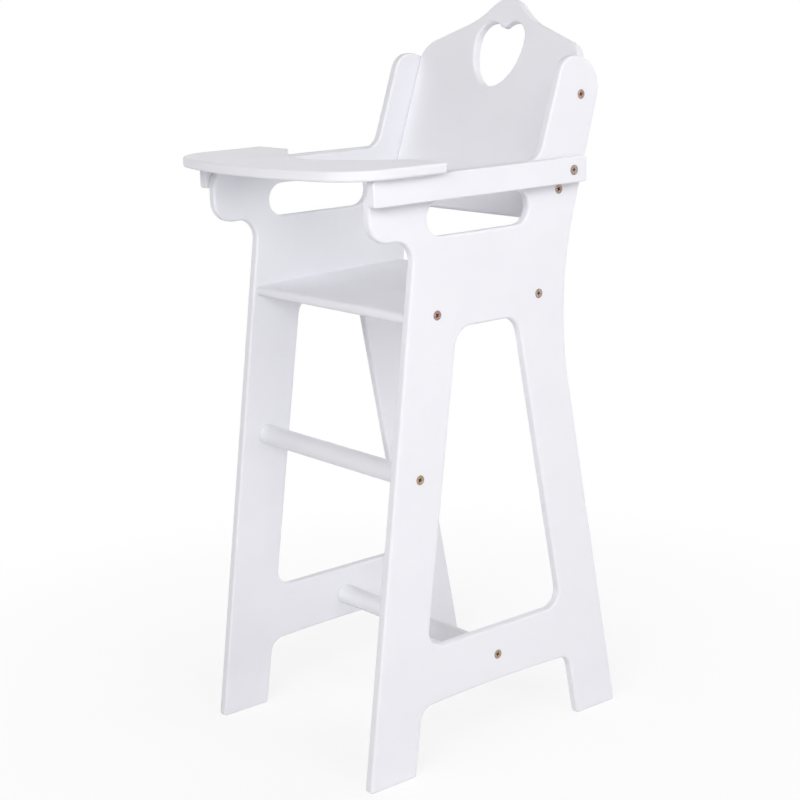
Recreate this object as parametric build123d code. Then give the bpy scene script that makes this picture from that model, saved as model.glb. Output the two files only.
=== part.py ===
from build123d import *
import os
from math import asin, cos, degrees, radians, sin, tan

# Doll high chair of painted board: two side panels that hold a seat, a leaning backrest
# and two round rails, and a tray on two arms that swings up and over the back.
# Millimetres, +Z up, the front faces -Y, the origin is on the floor under the middle.

# Sizes that all the pieces share
board = 8.0  # thickness of every flat piece
clear_width = 189.0  # between the inner faces of the two side panels
edge_round = 2.0  # routed round on the board edges
corner_round = 2.6  # outline corners that look sharp
overrun = 5.0  # how far a cutter stands past what it cuts

# Front leg, with its lengths along Y measured from the toe
front_foot = 44.7  # width of the front foot on the floor
front_lean = 8.2  # degrees, front edge of the front leg
front_inner_lean = 8.75  # degrees, rear edge of the front leg

# Rear leg
rear_foot_start = 218.3  # toe to the front of the rear foot
rear_foot = 43.2  # width of the rear foot on the floor
rear_lean = 9.8  # degrees, both edges of the rear leg

# Crossbar, window and arch of a side panel
crossbar_low = 53.2  # floor to the ends of the crossbar's arched underside
crossbar_height = 46.0
arch_rise = 3.6  # middle of the underside above its ends, before the crown is rounded
arch_crown_round = 1400.0
arch_round = 12.0
window_drop = 11.6  # middle of the seat's front edge down to the top of the window
window_low_round = 13.0
window_top_round = 16.0

# Armrest band of a side panel
armrest_rise = 105.4  # middle of the seat's front edge up to the edge that the tray rests on
armrest_depth = 47.0  # top edge to the underside of the nose
nose_front = 18.0  # toe to the foremost point of the nose
nose_top_round = 20.0
nose_low_round = 17.0
notch_round = 15.0  # hollow between the nose and the front leg
slot_length = 101.0
slot_height = 26.5
slot_start = 71.3  # toe to the front end of the hand slot

# Wing of a side panel, which holds the backrest
wing_rise = 76.5  # armrest to the top of the wing
wing_foot = 184.5  # toe to where the wing's front edge meets the armrest
wing_width = 45.5  # along its top, before the rounds
wing_rear_lean = 17.1  # degrees, rear edge of the wing
wing_front_round = 16.0
wing_rear_round = 24.6
wing_hollow_round = 16.0  # between the armrest and the wing
waist_round = 297.0  # long curve from the rear leg to the wing

# Backrest, with its heights measured along its own slope
back_lean = 19.6  # degrees from upright
back_screw_out = 229.2  # toe to the upper backrest screws
back_screw_rise = 46.7  # armrest to the upper backrest screws
back_screw_gap = 75.0  # upper to lower screws
back_screw_margin = 25.0  # lower screws to the lower edge
hump_rise = 77.0  # upper screws to the top of the hump
hump_round = 27.0
hump_turn = 42.0  # degrees that the hump turns through
flank_round = 80.0
flank_slope = 19.5  # degrees, straight run down to the shoulder
shoulder_round = 22.0
shoulder_turn = 70.0  # degrees at the side edge

# Heart cut-out, drawn upwards from its foot
heart_foot_rise = 3.5  # upper screws to the foot of the heart
heart_foot_round = 22.0
heart_flank_round = 34.0
heart_side_round = 50.0
heart_foot_turn = 35.0  # degrees
heart_flank_turn = 68.0  # degrees
heart_lobe_round = 15.5
heart_notch_round = 5.0

# Seat
seat_front = 53.2  # toe to the front edge
seat_height = 354.1  # floor to the middle of the front edge
seat_depth = 153.0
seat_tilt = 1.4  # degrees, the rear edge higher
seat_front_round = 3.4
seat_screw_margin = 25.0  # screws to the front and rear edges

# Round rails
rail_diameter = 16.0
foot_rest_height = 233.5
rail_end_round = 0.8

# Tray and its arms
tray_overhang = 6.5  # past the outer face of each arm
tray_front = 23.0  # how far the tray stands out in front of the toe
tray_bow = 21.0  # rise of the front edge's curve over the full width
tray_corner_round = 42.0
tray_rear = 80.5  # toe to the rear edge of the horns
horn_width = 38.5
horn_outer_round = 3.5
horn_inner_round = 4.5
belly_slope = 38.0  # degrees, straight flanks of the belly cut
belly_round = 69.0  # hollow between the flanks
arm_height = 19.6
arm_front = 16.0  # toe to the front end of an arm
arm_edge_round = 1.0
arm_end_round = 2.5
pivot_out = 212.5  # toe to the pivot
pivot_margin = 13.8  # pivot to the rear end of an arm
arm_gap = 0.5  # arm to side panel
tray_gap = 0.3  # tray to the top edge of a side panel
pin_diameter = 4.0
pin_length = 15.0
pin_in_tray = 5.5
pin_margin = 18.0  # pins to the front end of the arm and to the horn's rear edge

# Screws
screw_diameter = 3.5
screw_head = 7.5
screw_length = 30.0
screw_tip = 3.0
head_rim = 0.35  # straight rim of the countersunk head
pivot_screw_length = 15.5  # ends inside the side panel
pivot_clearance = 0.05  # shank to arm bore
head_clearance = 0.3  # pivot screw's head to its seat in the arm
recess_reach = 3.9  # arms of the cross recess, tip to tip
recess_width = 0.9
recess_depth = 1.3

# Places that follow from the sizes
heel_loss = corner_round / tan(radians(90 - rear_lean) / 2) - corner_round  # by its round corner
rearmost = rear_foot_start + rear_foot - heel_loss
toe = -(rearmost - tray_front) / 2  # puts the origin under the middle
panel_x = clear_width / 2  # inner face of a side panel
outer_x = panel_x + board  # outer face of a side panel
arm_x = outer_x + arm_gap  # inner face of an arm
tray_half_width = arm_x + board + tray_overhang
crossbar_top = crossbar_low + crossbar_height
window_top = seat_height - window_drop
armrest_top = seat_height + armrest_rise
wing_top = armrest_top + wing_rise
back_screw_height = armrest_top + back_screw_rise
nose_low = armrest_top - armrest_depth
tray_low = armrest_top + tray_gap
pivot_height = tray_low - arm_height / 2
seat_place = Pos(0, toe + seat_front, seat_height) * Rot(seat_tilt, 0, 0)
side_plane = Plane(origin=(0, toe, 0), x_dir=(0, 1, 0), z_dir=(1, 0, 0))
back_plane = Plane(
    origin=(0, toe + back_screw_out, back_screw_height),
    x_dir=(1, 0, 0),
    z_dir=(0, -cos(radians(back_lean)), sin(radians(back_lean))),
)


def front_leg_edge(height):
    return height * tan(radians(front_lean))


def front_leg_inner(height):
    return front_foot + height * tan(radians(front_inner_lean))


def rear_leg_inner(height):
    return rear_foot_start - height * tan(radians(rear_lean))


def wing_front_edge(height):
    return wing_foot + (height - armrest_top) * tan(radians(back_lean))


def rounded_polygon(corners):
    """Closed outline from (along, up, radius) corners."""
    outline = Polyline(*[(a, b) for a, b, r in corners], close=True)
    face = make_face(outline)
    for a, b, r in reversed(corners):
        nearest = face.vertices().sort_by_distance(Vector(a, b, 0))[0]
        face = fillet(nearest, r)
    return face


def panel_outline():
    """Outer outline, hand slot and window of a side panel, in the side plane."""
    wing_rear = wing_front_edge(wing_top) + wing_width
    rear_slope, wing_slope = tan(radians(rear_lean)), tan(radians(wing_rear_lean))
    heel = rear_foot_start + rear_foot
    waist = (heel - wing_rear + wing_top * wing_slope) / (rear_slope + wing_slope)
    arch_start, arch_end = front_leg_inner(crossbar_low), rear_leg_inner(crossbar_low)
    outer = rounded_polygon(
        [
            (0, 0, corner_round),
            (front_foot, 0, corner_round),
            (arch_start, crossbar_low, arch_round),
            ((arch_start + arch_end) / 2, crossbar_low + arch_rise, arch_crown_round),
            (arch_end, crossbar_low, arch_round),
            (rear_foot_start, 0, corner_round),
            (heel, 0, corner_round),
            (heel - waist * rear_slope, waist, waist_round),
            (wing_rear, wing_top, wing_rear_round),
            (wing_front_edge(wing_top), wing_top, wing_front_round),
            (wing_foot, armrest_top, wing_hollow_round),
            (nose_front, armrest_top, nose_top_round),
            (nose_front, nose_low, nose_low_round),
            (front_leg_edge(nose_low), nose_low, notch_round),
        ]
    )
    window = rounded_polygon(
        [
            (front_leg_inner(crossbar_top), crossbar_top, window_low_round),
            (rear_leg_inner(crossbar_top), crossbar_top, window_low_round),
            (rear_leg_inner(window_top), window_top, window_top_round),
            (front_leg_inner(window_top), window_top, window_top_round),
        ]
    )
    slot_middle = (slot_start + slot_length / 2, nose_low + slot_height / 2)
    slot = Pos(*slot_middle) * SlotOverall(slot_length, slot_height)
    return outer - window - slot


def side_panel(side, screws):
    inner_face = side_plane.offset(panel_x if side > 0 else -outer_x)
    panel = extrude(inner_face * panel_outline(), board)
    panel = fillet(face_edges(panel, Axis.X), edge_round)
    return panel - screws


def face_edges(solid, axis):
    """The edges round the two flat faces that look along an axis."""
    faces = solid.faces().sort_by(axis)
    return faces[0].edges() + faces[-1].edges()


def bell_outline():
    """Backrest outline: a hump, two hollow flanks and two round shoulders."""
    half = clear_width / 2
    hump = JernArc((0, hump_rise), (1, 0), hump_round, -hump_turn)
    flank = JernArc(hump @ 1, hump % 1, flank_round, hump_turn - flank_slope)
    turn_width = shoulder_round * (sin(radians(shoulder_turn)) - sin(radians(flank_slope)))
    run = (half - turn_width - (flank @ 1).X) / cos(radians(flank_slope))
    straight = Line(flank @ 1, (flank @ 1) + (flank % 1) * run)
    shoulder = JernArc(straight @ 1, straight % 1, shoulder_round, flank_slope - shoulder_turn)
    low = -back_screw_gap - back_screw_margin
    side = Polyline(shoulder @ 1, (half, low), (0, low))
    right = Curve() + [hump, flank, straight, shoulder, side]
    face = make_face(right + mirror(right, Plane.YZ))
    low_corners = face.vertices().filter_by(lambda v: v.Y < low + edge_round and abs(v.X) > edge_round)
    return fillet(low_corners, corner_round)


def heart_outline():
    """Plump heart: three arcs up each side, a round lobe and a shallow notch."""
    foot = JernArc((0, heart_foot_rise), (1, 0), heart_foot_round, heart_foot_turn)
    flank = JernArc(foot @ 1, foot % 1, heart_flank_round, heart_flank_turn - heart_foot_turn)
    upright = 90
    side = JernArc(flank @ 1, flank % 1, heart_side_round, upright - heart_flank_turn)
    lobe_middle = (side @ 1).X - heart_lobe_round
    notch_turn = degrees(asin(lobe_middle / (heart_lobe_round + heart_notch_round)))
    lobe = JernArc(side @ 1, side % 1, heart_lobe_round, upright + notch_turn)
    notch = JernArc(lobe @ 1, lobe % 1, heart_notch_round, -notch_turn)
    right = Curve() + [foot, flank, side, lobe, notch]
    return make_face(right + mirror(right, Plane.YZ))


def backrest(screws):
    blank = extrude(back_plane * (bell_outline() - heart_outline()), board / 2, both=True)
    faces = blank.faces().sort_by(Axis(back_plane.origin, back_plane.z_dir))
    blank = fillet(faces[0].edges() + faces[-1].edges(), edge_round)
    return blank - screws


def seat_board(screws):
    blank = Pos(0, seat_depth / 2, 0) * Box(clear_width, seat_depth, board)
    front_edges = face_edges(blank, Axis.Z).group_by(Axis.Y)[0]
    blank = fillet(front_edges, seat_front_round)
    rear_edges = face_edges(blank, Axis.Z).group_by(Axis.Y)[-1]
    blank = fillet(rear_edges, edge_round)
    return seat_place * blank - screws


def seat_point(depth):
    """Where the seat's middle layer is, as (along, height), at a depth from its front."""
    tilt = radians(seat_tilt)
    return seat_front + depth * cos(tilt), seat_height + depth * sin(tilt)


def rail(along, height, screws):
    """Round rail between the side panels, its ends slightly rounded."""
    blank = Pos(0, toe + along, height) * Rot(0, 90, 0) * Cylinder(rail_diameter / 2, clear_width)
    blank = fillet(blank.edges().filter_by(GeomType.CIRCLE), rail_end_round)
    return blank - screws


def tray_outline():
    """Tray seen from above: bowed front, two rear horns and the belly cut between them."""
    front, rear = -tray_front, tray_rear
    side_start = front + tray_bow
    half, inner = tray_half_width, tray_half_width - horn_width
    right = [(half, side_start), (half, rear), (inner, rear)]
    left = [(-x, y) for x, y in reversed(right)]
    belly_point = (0, rear - inner * tan(radians(belly_slope)))
    bow = ThreePointArc(left[-1], (0, front), right[0])
    face = make_face(Curve() + [bow, Polyline(*right, belly_point, *left)])
    face = fillet(face.vertices().sort_by_distance(Vector(*belly_point, 0))[0], belly_round)
    for across, along, r in (
        (half, side_start, tray_corner_round),
        (half, rear, horn_outer_round),
        (inner, rear, horn_inner_round),
    ):
        for x in (-across, across):
            nearest = face.vertices().sort_by_distance(Vector(x, along, 0))[0]
            face = fillet(nearest, r)
    return face


def tray_top(pins):
    blank = extrude(Pos(0, toe, tray_low) * tray_outline(), board)
    return fillet(face_edges(blank, Axis.Z), edge_round) - pins


def tray_arm(side, pins):
    length = pivot_out + pivot_margin - arm_front
    middle = Pos(side * (arm_x + board / 2), toe + arm_front + length / 2, pivot_height)
    blank = middle * Box(board, length, arm_height)
    blank = fillet(blank.edges().filter_by(Axis.X), arm_end_round)
    blank = fillet(face_edges(blank, Axis.X), arm_edge_round)
    return blank - pivot_hole(side) - pins


def pivot_hole(side):
    """Bore and countersink of an arm, which turn round the pivot screw."""
    bore = screw_diameter / 2 + pivot_clearance
    rim = screw_head / 2 + head_clearance
    start = head_rim + head_clearance
    profile = Polyline(
        (0, overrun), (rim, overrun), (rim, -start), (bore, bore - rim - start),
        (bore, -board - overrun), (0, -board - overrun), close=True,
    )
    cutter = revolve(Plane.XZ * make_face(profile), Axis.Z)
    return screw_place(side, arm_x + board, pivot_out, pivot_height) * cutter


def screw_form(length, head_top=0):
    """Screw along Z: a head with its flat face at zero, a cone below it and a pointed tip."""
    shank, head = screw_diameter / 2, screw_head / 2
    cone = head - shank
    profile = Polyline(
        (0, head_top), (head, head_top), (head, -head_rim), (shank, -head_rim - cone),
        (shank, -length + screw_tip), (0, -length), close=True,
    )
    return revolve(Plane.XZ * make_face(profile), Axis.Z)


def countersunk_screw(length):
    screw = screw_form(length)
    for wide, deep in ((recess_reach, recess_width), (recess_width, recess_reach)):
        screw -= Box(wide, deep, 2 * recess_depth)
    return screw


def screw_place(side, face_x, along, height):
    """Where a screw stands: its head's face at face_x, its point towards the middle."""
    return Pos(side * face_x, toe + along, height) * Rot(0, 90 * side, 0)


def screws_at(side, places, face_x=outer_x, length=screw_length):
    return [screw_place(side, face_x, a, h) * countersunk_screw(length) for a, h in places]


def screw_cutters(side, places):
    """The same screws without their cross recess, which cut their own holes."""
    return [screw_place(side, outer_x, a, h) * screw_form(screw_length, overrun) for a, h in places]


def tray_pins(side):
    """Hidden pins that hold the tray on top of one arm."""
    across = side * (arm_x + board / 2)
    middle_height = tray_low + pin_in_tray - pin_length / 2
    pin = Cylinder(pin_diameter / 2, pin_length)
    places = (arm_front + pin_margin, tray_rear - pin_margin)
    return [Pos(across, toe + along, middle_height) * pin for along in places]


# Where the screws go, as (along, height) pairs measured from the toe and the floor
lower_out = back_screw_out - back_screw_gap * sin(radians(back_lean))
lower_height = back_screw_height - back_screw_gap * cos(radians(back_lean))
back_places = [(back_screw_out, back_screw_height), (lower_out, lower_height)]
seat_places = [seat_point(seat_screw_margin), seat_point(seat_depth - seat_screw_margin)]
foot_rest_out = (front_leg_edge(foot_rest_height) + front_leg_inner(foot_rest_height)) / 2
stretcher_height = crossbar_low + crossbar_height / 2
stretcher_out = (front_leg_inner(stretcher_height) + rear_leg_inner(stretcher_height)) / 2
foot_rest_place = [(foot_rest_out, foot_rest_height)]
stretcher_place = [(stretcher_out, stretcher_height)]
pivot_place = [(pivot_out, pivot_height)]


def both_sides(places):
    return screw_cutters(1, places) + screw_cutters(-1, places)


def pivot_pilot(side):
    """Hole of the pivot screw in its side panel."""
    return screw_place(side, arm_x + board, *pivot_place[0]) * screw_form(pivot_screw_length)


def make_parts():
    parts = {
        "backrest": backrest(both_sides(back_places)),
        "seat_board": seat_board(both_sides(seat_places)),
        "foot_rest": rail(foot_rest_out, foot_rest_height, both_sides(foot_rest_place)),
        "lower_stretcher": rail(stretcher_out, stretcher_height, both_sides(stretcher_place)),
        "tray_top": tray_top(tray_pins(1) + tray_pins(-1)),
    }
    panel_places = back_places + seat_places + foot_rest_place + stretcher_place
    for side, name in ((1, "right"), (-1, "left")):
        cutters = screw_cutters(side, panel_places) + [pivot_pilot(side)]
        parts["side_panel_" + name] = side_panel(side, cutters)
        parts["tray_arm_" + name] = tray_arm(side, tray_pins(side))
        parts["tray_pins_" + name] = tray_pins(side)
        parts["tray_pivot_screw_" + name] = screws_at(
            side, pivot_place, arm_x + board, pivot_screw_length
        )
        parts["backrest_screws_" + name] = screws_at(side, back_places)
        parts["seat_screws_" + name] = screws_at(side, seat_places)
        parts["foot_rest_screw_" + name] = screws_at(side, foot_rest_place)
        parts["stretcher_screw_" + name] = screws_at(side, stretcher_place)
    return parts


os.makedirs("parts", exist_ok=True)
for name, shape in make_parts().items():
    if isinstance(shape, list):
        shape = Compound([s if isinstance(s, Solid) else s.solid() for s in shape])
    export_step(shape, os.path.join("parts", name + ".step"))
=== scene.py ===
import math
import bpy
import bmesh
from mathutils import Matrix, Vector


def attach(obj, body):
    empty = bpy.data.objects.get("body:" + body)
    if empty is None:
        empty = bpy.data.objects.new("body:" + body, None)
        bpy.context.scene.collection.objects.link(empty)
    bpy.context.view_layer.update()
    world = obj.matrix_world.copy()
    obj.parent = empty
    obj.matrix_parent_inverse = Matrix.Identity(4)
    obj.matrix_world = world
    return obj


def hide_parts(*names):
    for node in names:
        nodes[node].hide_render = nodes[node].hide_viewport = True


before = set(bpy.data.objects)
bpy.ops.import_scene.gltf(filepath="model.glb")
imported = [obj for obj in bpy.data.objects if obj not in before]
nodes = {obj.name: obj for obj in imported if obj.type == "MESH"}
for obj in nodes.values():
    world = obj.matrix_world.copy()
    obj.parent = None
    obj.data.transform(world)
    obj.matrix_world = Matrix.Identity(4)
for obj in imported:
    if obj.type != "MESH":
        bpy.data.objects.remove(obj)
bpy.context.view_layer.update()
print("frame loaded with", len(nodes), "wooden and metal nodes")


# Shader maths: a Value wraps one socket, and an expression on values adds its Math nodes
class Value:
    def __init__(self, paint, socket):
        self.paint = paint
        self.socket = socket

    def join(self, operation, *others):
        return self.paint.add("ShaderNodeMath", {"operation": operation}, [self, *others])

    def __add__(self, other):
        return self.join("ADD", other)

    def __radd__(self, other):
        return self.join("ADD", other)

    def __sub__(self, other):
        return self.join("SUBTRACT", other)

    def __rsub__(self, other):
        return self.paint.add("ShaderNodeMath", {"operation": "SUBTRACT"}, [other, self])

    def __mul__(self, other):
        return self.join("MULTIPLY", other)

    def __rmul__(self, other):
        return self.join("MULTIPLY", other)

    def __abs__(self):
        return self.join("ABSOLUTE")


# A Mix node's sockets for colours, by number because their names repeat
mixSockets = {"factor": 0, "first": 6, "second": 7, "result": 2}


class Paint:  # the nodes of one material, or of the world
    def __init__(self, owner, shader="Principled BSDF"):
        owner.use_nodes = True
        self.owner = owner
        self.tree = owner.node_tree
        self.shader = self.tree.nodes[shader]

    def add(self, nodeType, settings=None, values=(), output=0):  # any node, its settings first
        node = self.tree.nodes.new(nodeType)
        for key, setting in (settings or {}).items():
            setattr(node, key, setting)
        pairs = values.items() if isinstance(values, dict) else enumerate(values)
        for key, value in pairs:
            self.feed(node.inputs[key], value)
        return Value(self, node.outputs[output])

    def feed(self, socket, value):
        if isinstance(value, Value):
            self.tree.links.new(value.socket, socket)
        else:
            socket.default_value = value

    def set(self, **values):  # sockets of the shader, written as baseColor=...
        names = {
            "baseColor": "Base Color", "roughness": "Roughness", "metallic": "Metallic",
            "normal": "Normal", "ior": "IOR",
        }
        for key, value in values.items():
            self.feed(self.shader.inputs[names[key]], value)

    def place(self):
        return self.add("ShaderNodeTexCoord", output="Object")

    def seenDirectly(self):  # 1 for what the camera sees, also in metal or through glass
        seen = 0.0
        for ray in ("Is Camera Ray", "Is Glossy Ray", "Is Transmission Ray"):
            seen = self.add("ShaderNodeLightPath", output=ray).join("MAXIMUM", seen)
        return seen

    def noise(self, vector, scale, detail=2.0, roughness=0.5):
        values = {"Vector": vector, "Scale": scale, "Detail": detail, "Roughness": roughness}
        return self.add("ShaderNodeTexNoise", None, values, "Fac")

    def stretched(self, vector, factors):  # pattern drawn out along a board's length
        return self.add("ShaderNodeVectorMath", {"operation": "MULTIPLY"}, [vector, factors])

    def towards(self, vector, direction):  # how far a vector points that way
        settings = {"operation": "DOT_PRODUCT"}
        return self.add("ShaderNodeVectorMath", settings, [vector, direction], "Value")

    def between(self, value, low, high, newLow=0.0, newHigh=1.0):
        return self.add("ShaderNodeMapRange", None, [value, low, high, newLow, newHigh])

    def mix(self, factor, first, second):
        m = mixSockets
        values = {m["factor"]: factor, m["first"]: first, m["second"]: second}
        return self.add("ShaderNodeMix", {"data_type": "RGBA"}, values, m["result"])

    def bump(self, height, distance, normal=None):  # distance in metres
        values = {"Distance": distance, "Height": height}
        if normal:
            values["Normal"] = normal
        return self.add("ShaderNodeBump", None, values)


# White satin paint on board, with scales per metre and heights in metres
whitePaint = {
    "color": (0.800, 0.797, 0.835, 1),
    "shade": (0.775, 0.773, 0.812, 1),  # thinner paint, in soft clouds
    "cloudScale": 14.0,
    "cloudRange": (0.35, 0.65),
    "edge": (0.765, 0.762, 0.797, 1),  # sawn edges drink more paint; the same darker colour is painted shade that dims the light on the rounded edges
    "edgeRange": (0.98, 0.75),  # cosine of the turn off the face, where an edge begins and is full; it begins early, so that the painted shade covers the rounding
    "edgeShare": 0.8,
    "roughness": (0.54, 0.64),
    "edgeRoughness": 0.70,
    "patchScale": 45.0,  # smoother and rougher patches
    "patchRange": (0.3, 0.7),
    "ior": 1.48,
    "peelScale": 620.0,  # orange peel
    "peelHeight": 0.000018,
    "waveScale": 70.0,  # slow roll of the sanded board
    "waveHeight": 0.00011,
    "fibreScale": 260.0,  # wood grain under the paint
    "fibreHeight": 0.000035,
    "fibreOnFace": 0.4,  # share of that height on the flat faces
}


def boardPaint(name, face, grain):
    p = Paint(bpy.data.materials.new(name))
    w = whitePaint
    place = p.place()
    clouds = p.between(p.noise(place, w["cloudScale"], 3), *w["cloudRange"])
    fibre = p.noise(p.stretched(place, grain), w["fibreScale"], 3, 0.6)
    peel = p.noise(place, w["peelScale"], 2)
    wave = p.noise(place, w["waveScale"], 1)
    facing = abs(p.towards(p.add("ShaderNodeTexCoord", output="Normal"), face))
    edge = p.between(facing, *w["edgeRange"])
    color = p.mix(clouds, w["color"], w["shade"])
    # darker edges: partly sawn edges drinking paint, partly painted shade on the rounding
    color = p.mix(edge * w["edgeShare"], color, w["edge"])
    patches = p.noise(place, w["patchScale"], 3)
    rough = p.between(patches, *w["patchRange"], *w["roughness"])
    rough = rough + edge * (w["edgeRoughness"] - w["roughness"][1])
    bumps = p.bump(wave, w["waveHeight"])
    bumps = p.bump(fibre * (w["fibreOnFace"] + edge), w["fibreHeight"], bumps)
    bumps = p.bump(peel, w["peelHeight"], bumps)
    p.set(baseColor=color, roughness=rough, normal=bumps, ior=w["ior"])
    return p.owner


def dress(names, material):
    for name in names:
        nodes[name].data.materials[0] = material


# Each paint's boards, the way that their flat faces look, and the scale of the grain, which
# is smallest along the board
lean = math.radians(19.6)  # of the backrest
boards = {
    "whitePaintPanel": (["side_panel_right", "side_panel_left"], (1, 0, 0), (1, 1, 0.12)),
    "whitePaintBackrest": (["backrest"], (0, math.cos(lean), -math.sin(lean)), (0.12, 1, 1)),
    "whitePaintSeat": (["seat_board"], (0, 0, 1), (0.12, 1, 1)),
    "whitePaintTray": (["tray_top"], (0, 0, 1), (0.12, 1, 1)),
    "whitePaintArm": (["tray_arm_right", "tray_arm_left"], (1, 0, 0), (1, 0.12, 1)),
    "whitePaintRail": (["foot_rest", "lower_stretcher"], (1, 0, 0), (0.08, 1, 1)),
}

for paintName, (boardNames, face, grain) in boards.items():
    dress(boardNames, boardPaint(paintName, face, grain))
print("white paint mixed for boards, arms and rails")


# Bare steel of the pins inside the arms, drawn along Z
pinSteel = {
    "color": (0.56, 0.56, 0.58, 1),
    "dull": (0.42, 0.42, 0.44, 1),
    "roughness": (0.28, 0.5),
    "drawn": (1, 1, 0.05),
    "streakScale": 1800,
    "streakRange": (0.3, 0.7),
    "streakHeight": 0.00002,
}


def steelOfPins():
    p = Paint(bpy.data.materials.new("pinSteel"))
    s = pinSteel
    streaks = p.noise(p.stretched(p.place(), s["drawn"]), s["streakScale"], 2)
    p.set(
        baseColor=p.mix(streaks, s["color"], s["dull"]),
        roughness=p.between(streaks, *s["streakRange"], *s["roughness"]),
        metallic=1.0,
        normal=p.bump(streaks, s["streakHeight"]),
    )
    return p.owner


dress(["tray_pins_right", "tray_pins_left"], steelOfPins())
print("steel mixed for the pins")


# Copper-plated screws, modelled once along Z with the head's face at zero, in metres
copperScrew = {
    "headRadius": 0.00368,
    "rim": 0.00035,
    "shankRadius": 0.00175,
    "coreRadius": 0.00125,
    "length": 0.030,
    "pivotLength": 0.0155,
    "tip": 0.003,
    "pointRadius": 0.0001,
    "plainShank": 0.009,
    "runIn": 0.0006,  # from the plain shank down to the thread's core
    "threadPitch": 0.0014,
    "threadWidth": 0.28,  # radius of its triangle along the shank, as a share of the pitch
    "threadSink": 0.0001,  # foot of the ridge inside the core
    "threadOnTip": 0.4,  # share of the tip that has thread
    "threadSteps": 20,
    "recessReach": 0.0027,  # middle to the tip of a slot
    "recessWidth": 0.0015,
    "recessDepth": 0.0014,
    "recessTaper": 0.42,
    "pitRadius": (0.00025, 0.0017),  # cone in the middle of the cross, from its tip up
    "pitDepth": 0.0019,
    "pitAbove": 0.0011,  # how far that cutter stands out of the head
    "pitSegments": 24,
    "segments": 48,
    "bevel": 0.00006,
    "bevelAngle": 40,
    "smoothAngle": 35,
}


def pickOnly(*pieces):
    bpy.ops.object.select_all(action="DESELECT")
    for piece in pieces:
        piece.select_set(True)
    bpy.context.view_layer.objects.active = pieces[0]


def editFaces():
    bpy.ops.object.mode_set(mode="EDIT")
    bpy.ops.mesh.select_mode(type="FACE")


def selectUnderside(piece):  # in edit mode, only the faces that look down
    mesh = bmesh.from_edit_mesh(piece.data)
    for face in mesh.faces:
        face.select_set(face.normal.z < -0.9)
    bmesh.update_edit_mesh(piece.data)


def applyModifier(piece, kind, **settings):
    pickOnly(piece)
    modifier = piece.modifiers.new(kind.title(), kind)
    for key, value in settings.items():
        setattr(modifier, key, value)
    bpy.ops.object.modifier_apply(modifier=modifier.name)


def slotCutter(turn):
    s = copperScrew
    bpy.ops.object.select_all(action="DESELECT")
    bpy.ops.mesh.primitive_cube_add(size=1, location=(0, 0, 0))
    cutter = bpy.context.object
    cutter.scale = (2 * s["recessReach"], s["recessWidth"], 2 * s["recessDepth"])
    cutter.rotation_euler = (0, 0, turn)
    bpy.ops.object.transform_apply(location=True, rotation=True, scale=True)
    editFaces()
    selectUnderside(cutter)
    taper = (s["recessTaper"], s["recessTaper"], 1)
    bpy.ops.transform.resize(value=taper, center_override=(0, 0, 0))
    bpy.ops.object.mode_set(mode="OBJECT")
    return cutter


def pitCutter():
    s = copperScrew
    tip, mouth = s["pitRadius"]
    height = s["pitDepth"] + s["pitAbove"]
    bpy.ops.object.select_all(action="DESELECT")
    bpy.ops.mesh.primitive_cone_add(
        vertices=s["pitSegments"], radius1=tip, radius2=mouth, depth=height,
        location=(0, 0, s["pitAbove"] - height / 2),
    )
    bpy.ops.object.transform_apply(location=True)
    return bpy.context.object


def screwBody(name, length):
    s = copperScrew
    bpy.ops.object.select_all(action="DESELECT")
    bpy.ops.mesh.primitive_cylinder_add(
        vertices=s["segments"], radius=s["headRadius"], depth=s["rim"],
        location=(0, 0, -s["rim"] / 2),
    )
    screw = bpy.context.object
    screw.name = name
    bpy.ops.object.transform_apply(location=True)
    editFaces()
    selectUnderside(screw)
    steps = [
        (s["shankRadius"], s["rim"] + s["headRadius"] - s["shankRadius"]),
        (s["shankRadius"], s["plainShank"]),
        (s["coreRadius"], s["plainShank"] + s["runIn"]),
        (s["coreRadius"], length - s["tip"]),
        (s["pointRadius"], length),
    ]
    depth, radius = s["rim"], s["headRadius"]
    for newRadius, newDepth in steps:
        bpy.ops.mesh.extrude_region_move(
            TRANSFORM_OT_translate={"value": (0, 0, depth - newDepth)}
        )
        scale = newRadius / radius
        bpy.ops.transform.resize(value=(scale, scale, 1), center_override=(0, 0, -newDepth))
        depth, radius = newDepth, newRadius
    bpy.ops.object.mode_set(mode="OBJECT")
    for cutter in (slotCutter(0), slotCutter(math.pi / 2), pitCutter()):
        applyModifier(screw, "BOOLEAN", object=cutter, operation="DIFFERENCE", solver="EXACT")
        bpy.data.objects.remove(cutter)
    return screw


def threadRidge(length):  # a three-cornered ring, wound down the shank
    s = copperScrew
    start = s["plainShank"] + s["runIn"]
    end = length - s["tip"] * (1 - s["threadOnTip"])
    foot = s["coreRadius"] - s["threadSink"]
    flank = (s["shankRadius"] - foot) / 1.5  # a triangle of radius 1 is 1.5 high
    bpy.ops.object.select_all(action="DESELECT")
    bpy.ops.mesh.primitive_circle_add(
        vertices=3, radius=1, location=(foot + flank / 2, 0, -start),
        rotation=(math.pi / 2, math.pi / 2, 0),
    )
    ridge = bpy.context.object
    ridge.scale = (s["threadPitch"] * s["threadWidth"], flank, 1)
    bpy.ops.object.transform_apply(location=True, rotation=True, scale=True)
    applyModifier(
        ridge, "SCREW", steps=s["threadSteps"], render_steps=s["threadSteps"],
        iterations=int((end - start) / s["threadPitch"]), axis="Z",
        screw_offset=-s["threadPitch"], use_merge_vertices=False,
    )
    return ridge


def keepOnPoints(screw, name, values):  # a number per point, for the plating to read
    attribute = screw.data.attributes.new(name, "FLOAT", "POINT")
    attribute.data.foreach_set("value", values)


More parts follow.
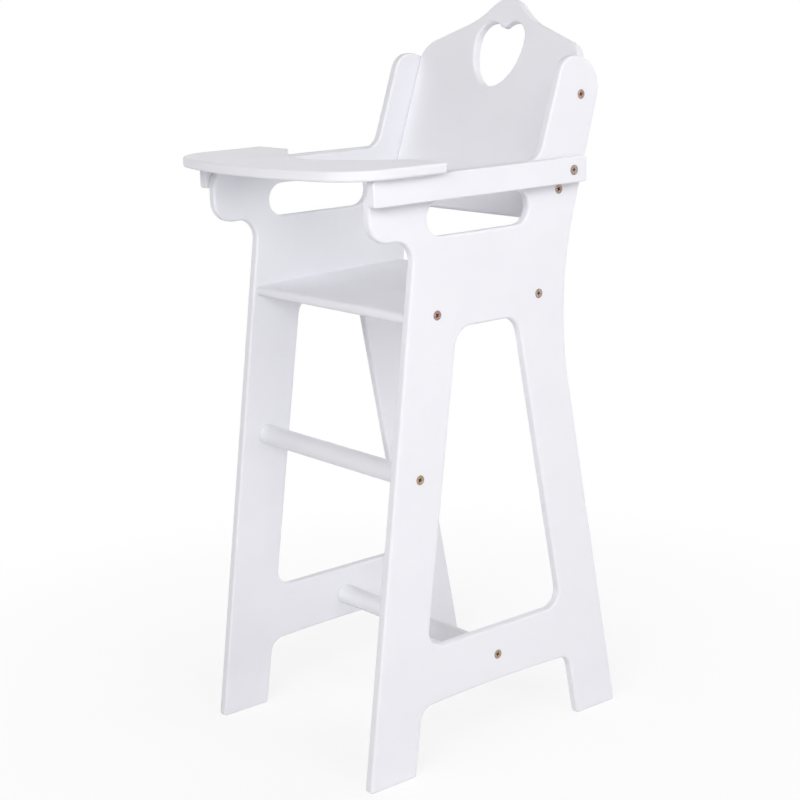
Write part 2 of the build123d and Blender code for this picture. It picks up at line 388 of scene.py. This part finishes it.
def finishedScrew(name, length):
    s = copperScrew
    screw = screwBody(name, length)
    ridge = threadRidge(length)
    pickOnly(screw, ridge)
    bpy.ops.object.join()
    screw = bpy.context.object
    applyModifier(
        screw, "BEVEL", width=s["bevel"], segments=2, limit_method="ANGLE",
        angle_limit=math.radians(s["bevelAngle"]),
    )
    bpy.ops.object.mode_set(mode="EDIT")
    bpy.ops.mesh.select_all(action="SELECT")
    bpy.ops.mesh.normals_make_consistent(inside=False)
    bpy.ops.object.mode_set(mode="OBJECT")
    bpy.ops.object.shade_smooth_by_angle(angle=math.radians(s["smoothAngle"]))
    points = [v.co * 1000 for v in screw.data.vertices]  # in millimetres
    keepOnPoints(screw, "fromAxis", [point.xy.length for point in points])
    keepOnPoints(screw, "depth", [-point.z for point in points])
    return screw


# The plating of the heads differs from screw to screw, and each plating has a dark painted shade
# for its cross recess
platings = {
    "pinkCopper": {"color": (0.44, 0.255, 0.215, 1), "recess": (0.17, 0.050, 0.034, 1)},
    "greyCopper": {"color": (0.44, 0.335, 0.28, 1), "recess": (0.18, 0.105, 0.065, 1)},
    "brownCopper": {"color": (0.43, 0.27, 0.215, 1), "recess": (0.11, 0.038, 0.020, 1)},
    "goldCopper": {"color": (0.47, 0.32, 0.20, 1), "recess": (0.14, 0.055, 0.018, 1)},
}

# What all the heads share: scales per metre, heights in metres, places in millimetres
copperFinish = {
    # lighter patches: worn plating, and painted glints where light catches the head
    "wearAndGlint": (0.68, 0.60, 0.545, 1),
    "wearAndGlintScale": 520,
    "wearAndGlintRange": (0.52, 0.66),
    "wearAndGlintShare": 0.75,
    # dark blotches of the plating, and also the painted shade round the rim of the head
    "rim": (0.25, 0.20, 0.185, 1),
    "blotchScale": 1100,
    "blotchRange": (0.35, 0.7),
    "blotchShare": 0.35,
    "rimShadePlace": (3.1, 3.6),  # from the axis, where the rim is darkened with painted shade
    "rimShadeShare": 0.7,
    # where the cross recess is darkened with painted shade, by depth and by distance from the axis
    "recessDepth": (0.05, 0.3),  # below the face
    "recessPlace": (2.85, 2.65),  # from the axis
    "recessRoughness": 0.25,  # more than on the face
    "roughness": (0.30, 0.46),
    "scratchScale": 2400,
    "scratchRange": (0.3, 0.7),
    "scratchHeight": 0.000012,
    "ringScale": 26,  # turning marks round the axis, in radians per millimetre
    "ringHeight": 0.000004,
}


def copperOfScrews(name):
    p = Paint(bpy.data.materials.new(name))
    f, plating = copperFinish, platings[name]
    fromAxis = p.add("ShaderNodeAttribute", {"attribute_name": "fromAxis"}, (), "Fac")
    depth = p.add("ShaderNodeAttribute", {"attribute_name": "depth"}, (), "Fac")
    place = p.place()
    wearAndGlint = p.between(p.noise(place, f["wearAndGlintScale"], 2), *f["wearAndGlintRange"])
    blotch = p.between(p.noise(place, f["blotchScale"], 2), *f["blotchRange"])
    rings = (fromAxis * f["ringScale"]).join("SINE") * 0.5 + 0.5
    scratch = p.noise(place, f["scratchScale"], 2)
    inRecess = p.between(depth, *f["recessDepth"]) * p.between(fromAxis, *f["recessPlace"])
    rimShade = p.between(fromAxis, *f["rimShadePlace"])
    # lighter patches, partly worn plating and partly painted glints
    color = p.mix(wearAndGlint * f["wearAndGlintShare"], plating["color"], f["wearAndGlint"])
    color = p.mix(blotch * f["blotchShare"], color, f["rim"])
    # painted shade round the rim of the head
    color = p.mix(rimShade * f["rimShadeShare"], color, f["rim"])
    # painted shade: the cross recess is coloured dark
    color = p.mix(inRecess, color, plating["recess"])
    rough = p.between(scratch, *f["scratchRange"], *f["roughness"])
    rough = rough + inRecess * f["recessRoughness"]
    bumps = p.bump(rings, f["ringHeight"])
    bumps = p.bump(scratch, f["scratchHeight"], bumps)
    p.set(baseColor=color, roughness=rough, metallic=1.0, normal=bumps)
    return p.owner


copperPaints = {name: copperOfScrews(name) for name in platings}
longScrew = finishedScrew("longScrew", copperScrew["length"])
shortScrew = finishedScrew("shortScrew", copperScrew["pivotLength"])

panelFace = 0.1025  # outer face of a side panel, from the middle
armFace = 0.1110  # outer face of a tray arm

# Each screw's node and plating, its head's place (out from the middle, along, up) and its turn
screwPlaces = {
    "backrestScrewUpper": ("backrest_screws", "pinkCopper", panelFace, 0.11019, 0.50620, 8),
    "backrestScrewLower": ("backrest_screws", "brownCopper", panelFace, 0.08503, 0.43555, -32),
    "seatScrewRear": ("seat_screws", "greyCopper", panelFace, 0.06216, 0.35723, 0),
    "seatScrewFront": ("seat_screws", "pinkCopper", panelFace, -0.04081, 0.35471, 40),
    "footRestScrew": ("foot_rest_screw", "goldCopper", panelFace, -0.06186, 0.23350, -35),
    "stretcherScrew": ("stretcher_screw", "goldCopper", panelFace, 0.01178, 0.07620, -18),
    "trayPivotScrew": ("tray_pivot_screw", "greyCopper", armFace, 0.09349, 0.45000, -6),
}

for label, (node, plating, out, along, height, turn) in screwPlaces.items():
    source = shortScrew if label == "trayPivotScrew" else longScrew
    for side, sideName in ((1, "right"), (-1, "left")):
        piece = source.copy()
        piece.data = source.data.copy()
        piece.name = label + sideName.title()
        bpy.context.scene.collection.objects.link(piece)
        sideways = Matrix.Rotation(math.radians(90 * side), 4, "Y")
        cross = Matrix.Rotation(math.radians(turn * side), 4, "Z")
        piece.data.transform(Matrix.Translation((side * out, along, height)) @ sideways @ cross)
        piece.data.materials.clear()
        piece.data.materials.append(copperPaints[plating])
        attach(piece, "chair")
        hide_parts(node + "_" + sideName)
for original in (longScrew, shortScrew):
    bpy.data.objects.remove(original)
print("fourteen copper screws modelled")


# Floor and white surroundings; an edge is where a light area fades in, on a unit direction
studio = {
    "floorRadius": 4.0,
    "floorColor": (0.86, 0.86, 0.87, 1),
    "floorRoughness": 0.8,
    "floorLift": 0.8,  # how far the floor beside the chair is lifted to white
    "floorFade": (0.1, 0.6),  # metres from the middle to where it is all white
    "sweepLight": 1.07,  # light from the white sweep that rises behind the chair
    "sweepEdge": (-0.2, 0.2),
    "wallLight": 2.6,  # light from the pale wall at the left rear
    "wallSide": (-0.82, 0.57, 0),  # the way to the wall
    "wallEdge": (0.3, 0.7),
    "topEdge": (0.45, 0.25),  # of the sweep and the wall
}


def whiteFloor():
    bpy.ops.object.select_all(action="DESELECT")
    bpy.ops.mesh.primitive_circle_add(
        vertices=96, radius=studio["floorRadius"], fill_type="NGON"
    )
    floor = bpy.context.object
    floor.name = "studioFloor"
    p = Paint(bpy.data.materials.new("studioFloorPaint"))
    p.set(baseColor=studio["floorColor"], roughness=studio["floorRoughness"])
    distance = p.add("ShaderNodeVectorMath", {"operation": "LENGTH"}, [p.place()], "Value")
    lift = p.between(distance, *studio["floorFade"], studio["floorLift"], 1.0)
    white = p.add("ShaderNodeEmission", None, {"Color": (1, 1, 1, 1), "Strength": 1.0})
    painted = Value(p, p.shader.outputs[0])
    both = p.add("ShaderNodeMixShader", None, [p.seenDirectly() * lift, painted, white])
    p.feed(p.tree.nodes["Material Output"].inputs["Surface"], both)
    floor.data.materials.append(p.owner)


def whiteWorld():
    p = Paint(bpy.data.worlds.new("whiteStudio"), "Background")
    bpy.context.scene.world = p.owner
    direction = p.add("ShaderNodeTexCoord", output="Generated")
    sweep = p.between(p.towards(direction, (0, 1, 0)), *studio["sweepEdge"])
    wall = p.between(p.towards(direction, studio["wallSide"]), *studio["wallEdge"])
    low = p.between(p.towards(direction, (0, 0, 1)), *studio["topEdge"])
    light = low * (sweep * studio["sweepLight"] + wall * studio["wallLight"])
    seen = p.seenDirectly()
    p.feed(p.shader.inputs["Color"], (1, 1, 1, 1))
    p.feed(p.shader.inputs["Strength"], seen + (1 - seen) * light)


def outward(azimuth, elevation):  # unit vector from the chair, angles in radians
    level = math.cos(elevation)
    return Vector(
        (math.sin(azimuth) * level, -math.cos(azimuth) * level, math.sin(elevation))
    )


# Each lamp's angle round from the front, its angle up and its watts
lamps = {
    "keyLamp": (30, 25.5, 46.2),
    "sideLamp": (90, 37, 21.4),
    "rearLamp": (150, 30, 10.7),
    "topLamp": (0, 90, 6.0),
}

# What the lamps share, in metres
softLampShape = {"size": 1.6, "distance": 2.6, "aim": (0, 0, 0.3)}


def softLamp(name, azimuth, elevation, watts):
    lamp = bpy.data.objects.new(name, bpy.data.lights.new(name, "AREA"))
    lamp.data.shape = "DISK"
    lamp.data.size = softLampShape["size"]
    lamp.data.energy = watts
    back = outward(math.radians(azimuth), math.radians(elevation))
    lamp.location = Vector(softLampShape["aim"]) + back * softLampShape["distance"]
    lamp.rotation_euler = back.to_track_quat("Z", "Y").to_euler()
    bpy.context.scene.collection.objects.link(lamp)


whiteFloor()
whiteWorld()
for name, (azimuth, elevation, watts) in lamps.items():
    softLamp(name, azimuth, elevation, watts)
print("studio lit")


# Camera where the photograph was taken, with angles in degrees
cameraView = {
    "azimuth": 51.019,
    "elevation": 12.124,
    "roll": 1.887,
    "place": (1.0522, -0.8460, 0.5897),
    "lens": 77.684,
    "sensor": 36,
    "shift": -0.05,  # the photograph is a crop of a taller one
    "nearest": 0.01,
}


def addCamera():
    v = cameraView
    azimuth, elevation, roll = (math.radians(v[key]) for key in ("azimuth", "elevation", "roll"))
    back = outward(azimuth, elevation)
    right = Vector((math.cos(azimuth), math.sin(azimuth), 0))
    down = (-back).cross(right)
    across = right * math.cos(roll) + down * math.sin(roll)
    up = right * math.sin(roll) - down * math.cos(roll)
    camera = bpy.data.objects.new("photoCamera", bpy.data.cameras.new("photoCamera"))
    camera.data.lens = v["lens"]
    camera.data.sensor_width = v["sensor"]
    camera.data.shift_y = v["shift"]
    camera.data.clip_start = v["nearest"]
    turn = Matrix((across, up, back)).transposed().to_4x4()
    camera.matrix_world = Matrix.Translation(v["place"]) @ turn
    bpy.context.scene.collection.objects.link(camera)
    bpy.context.scene.camera = camera


addCamera()
bpy.context.scene.view_settings.view_transform = "Standard"
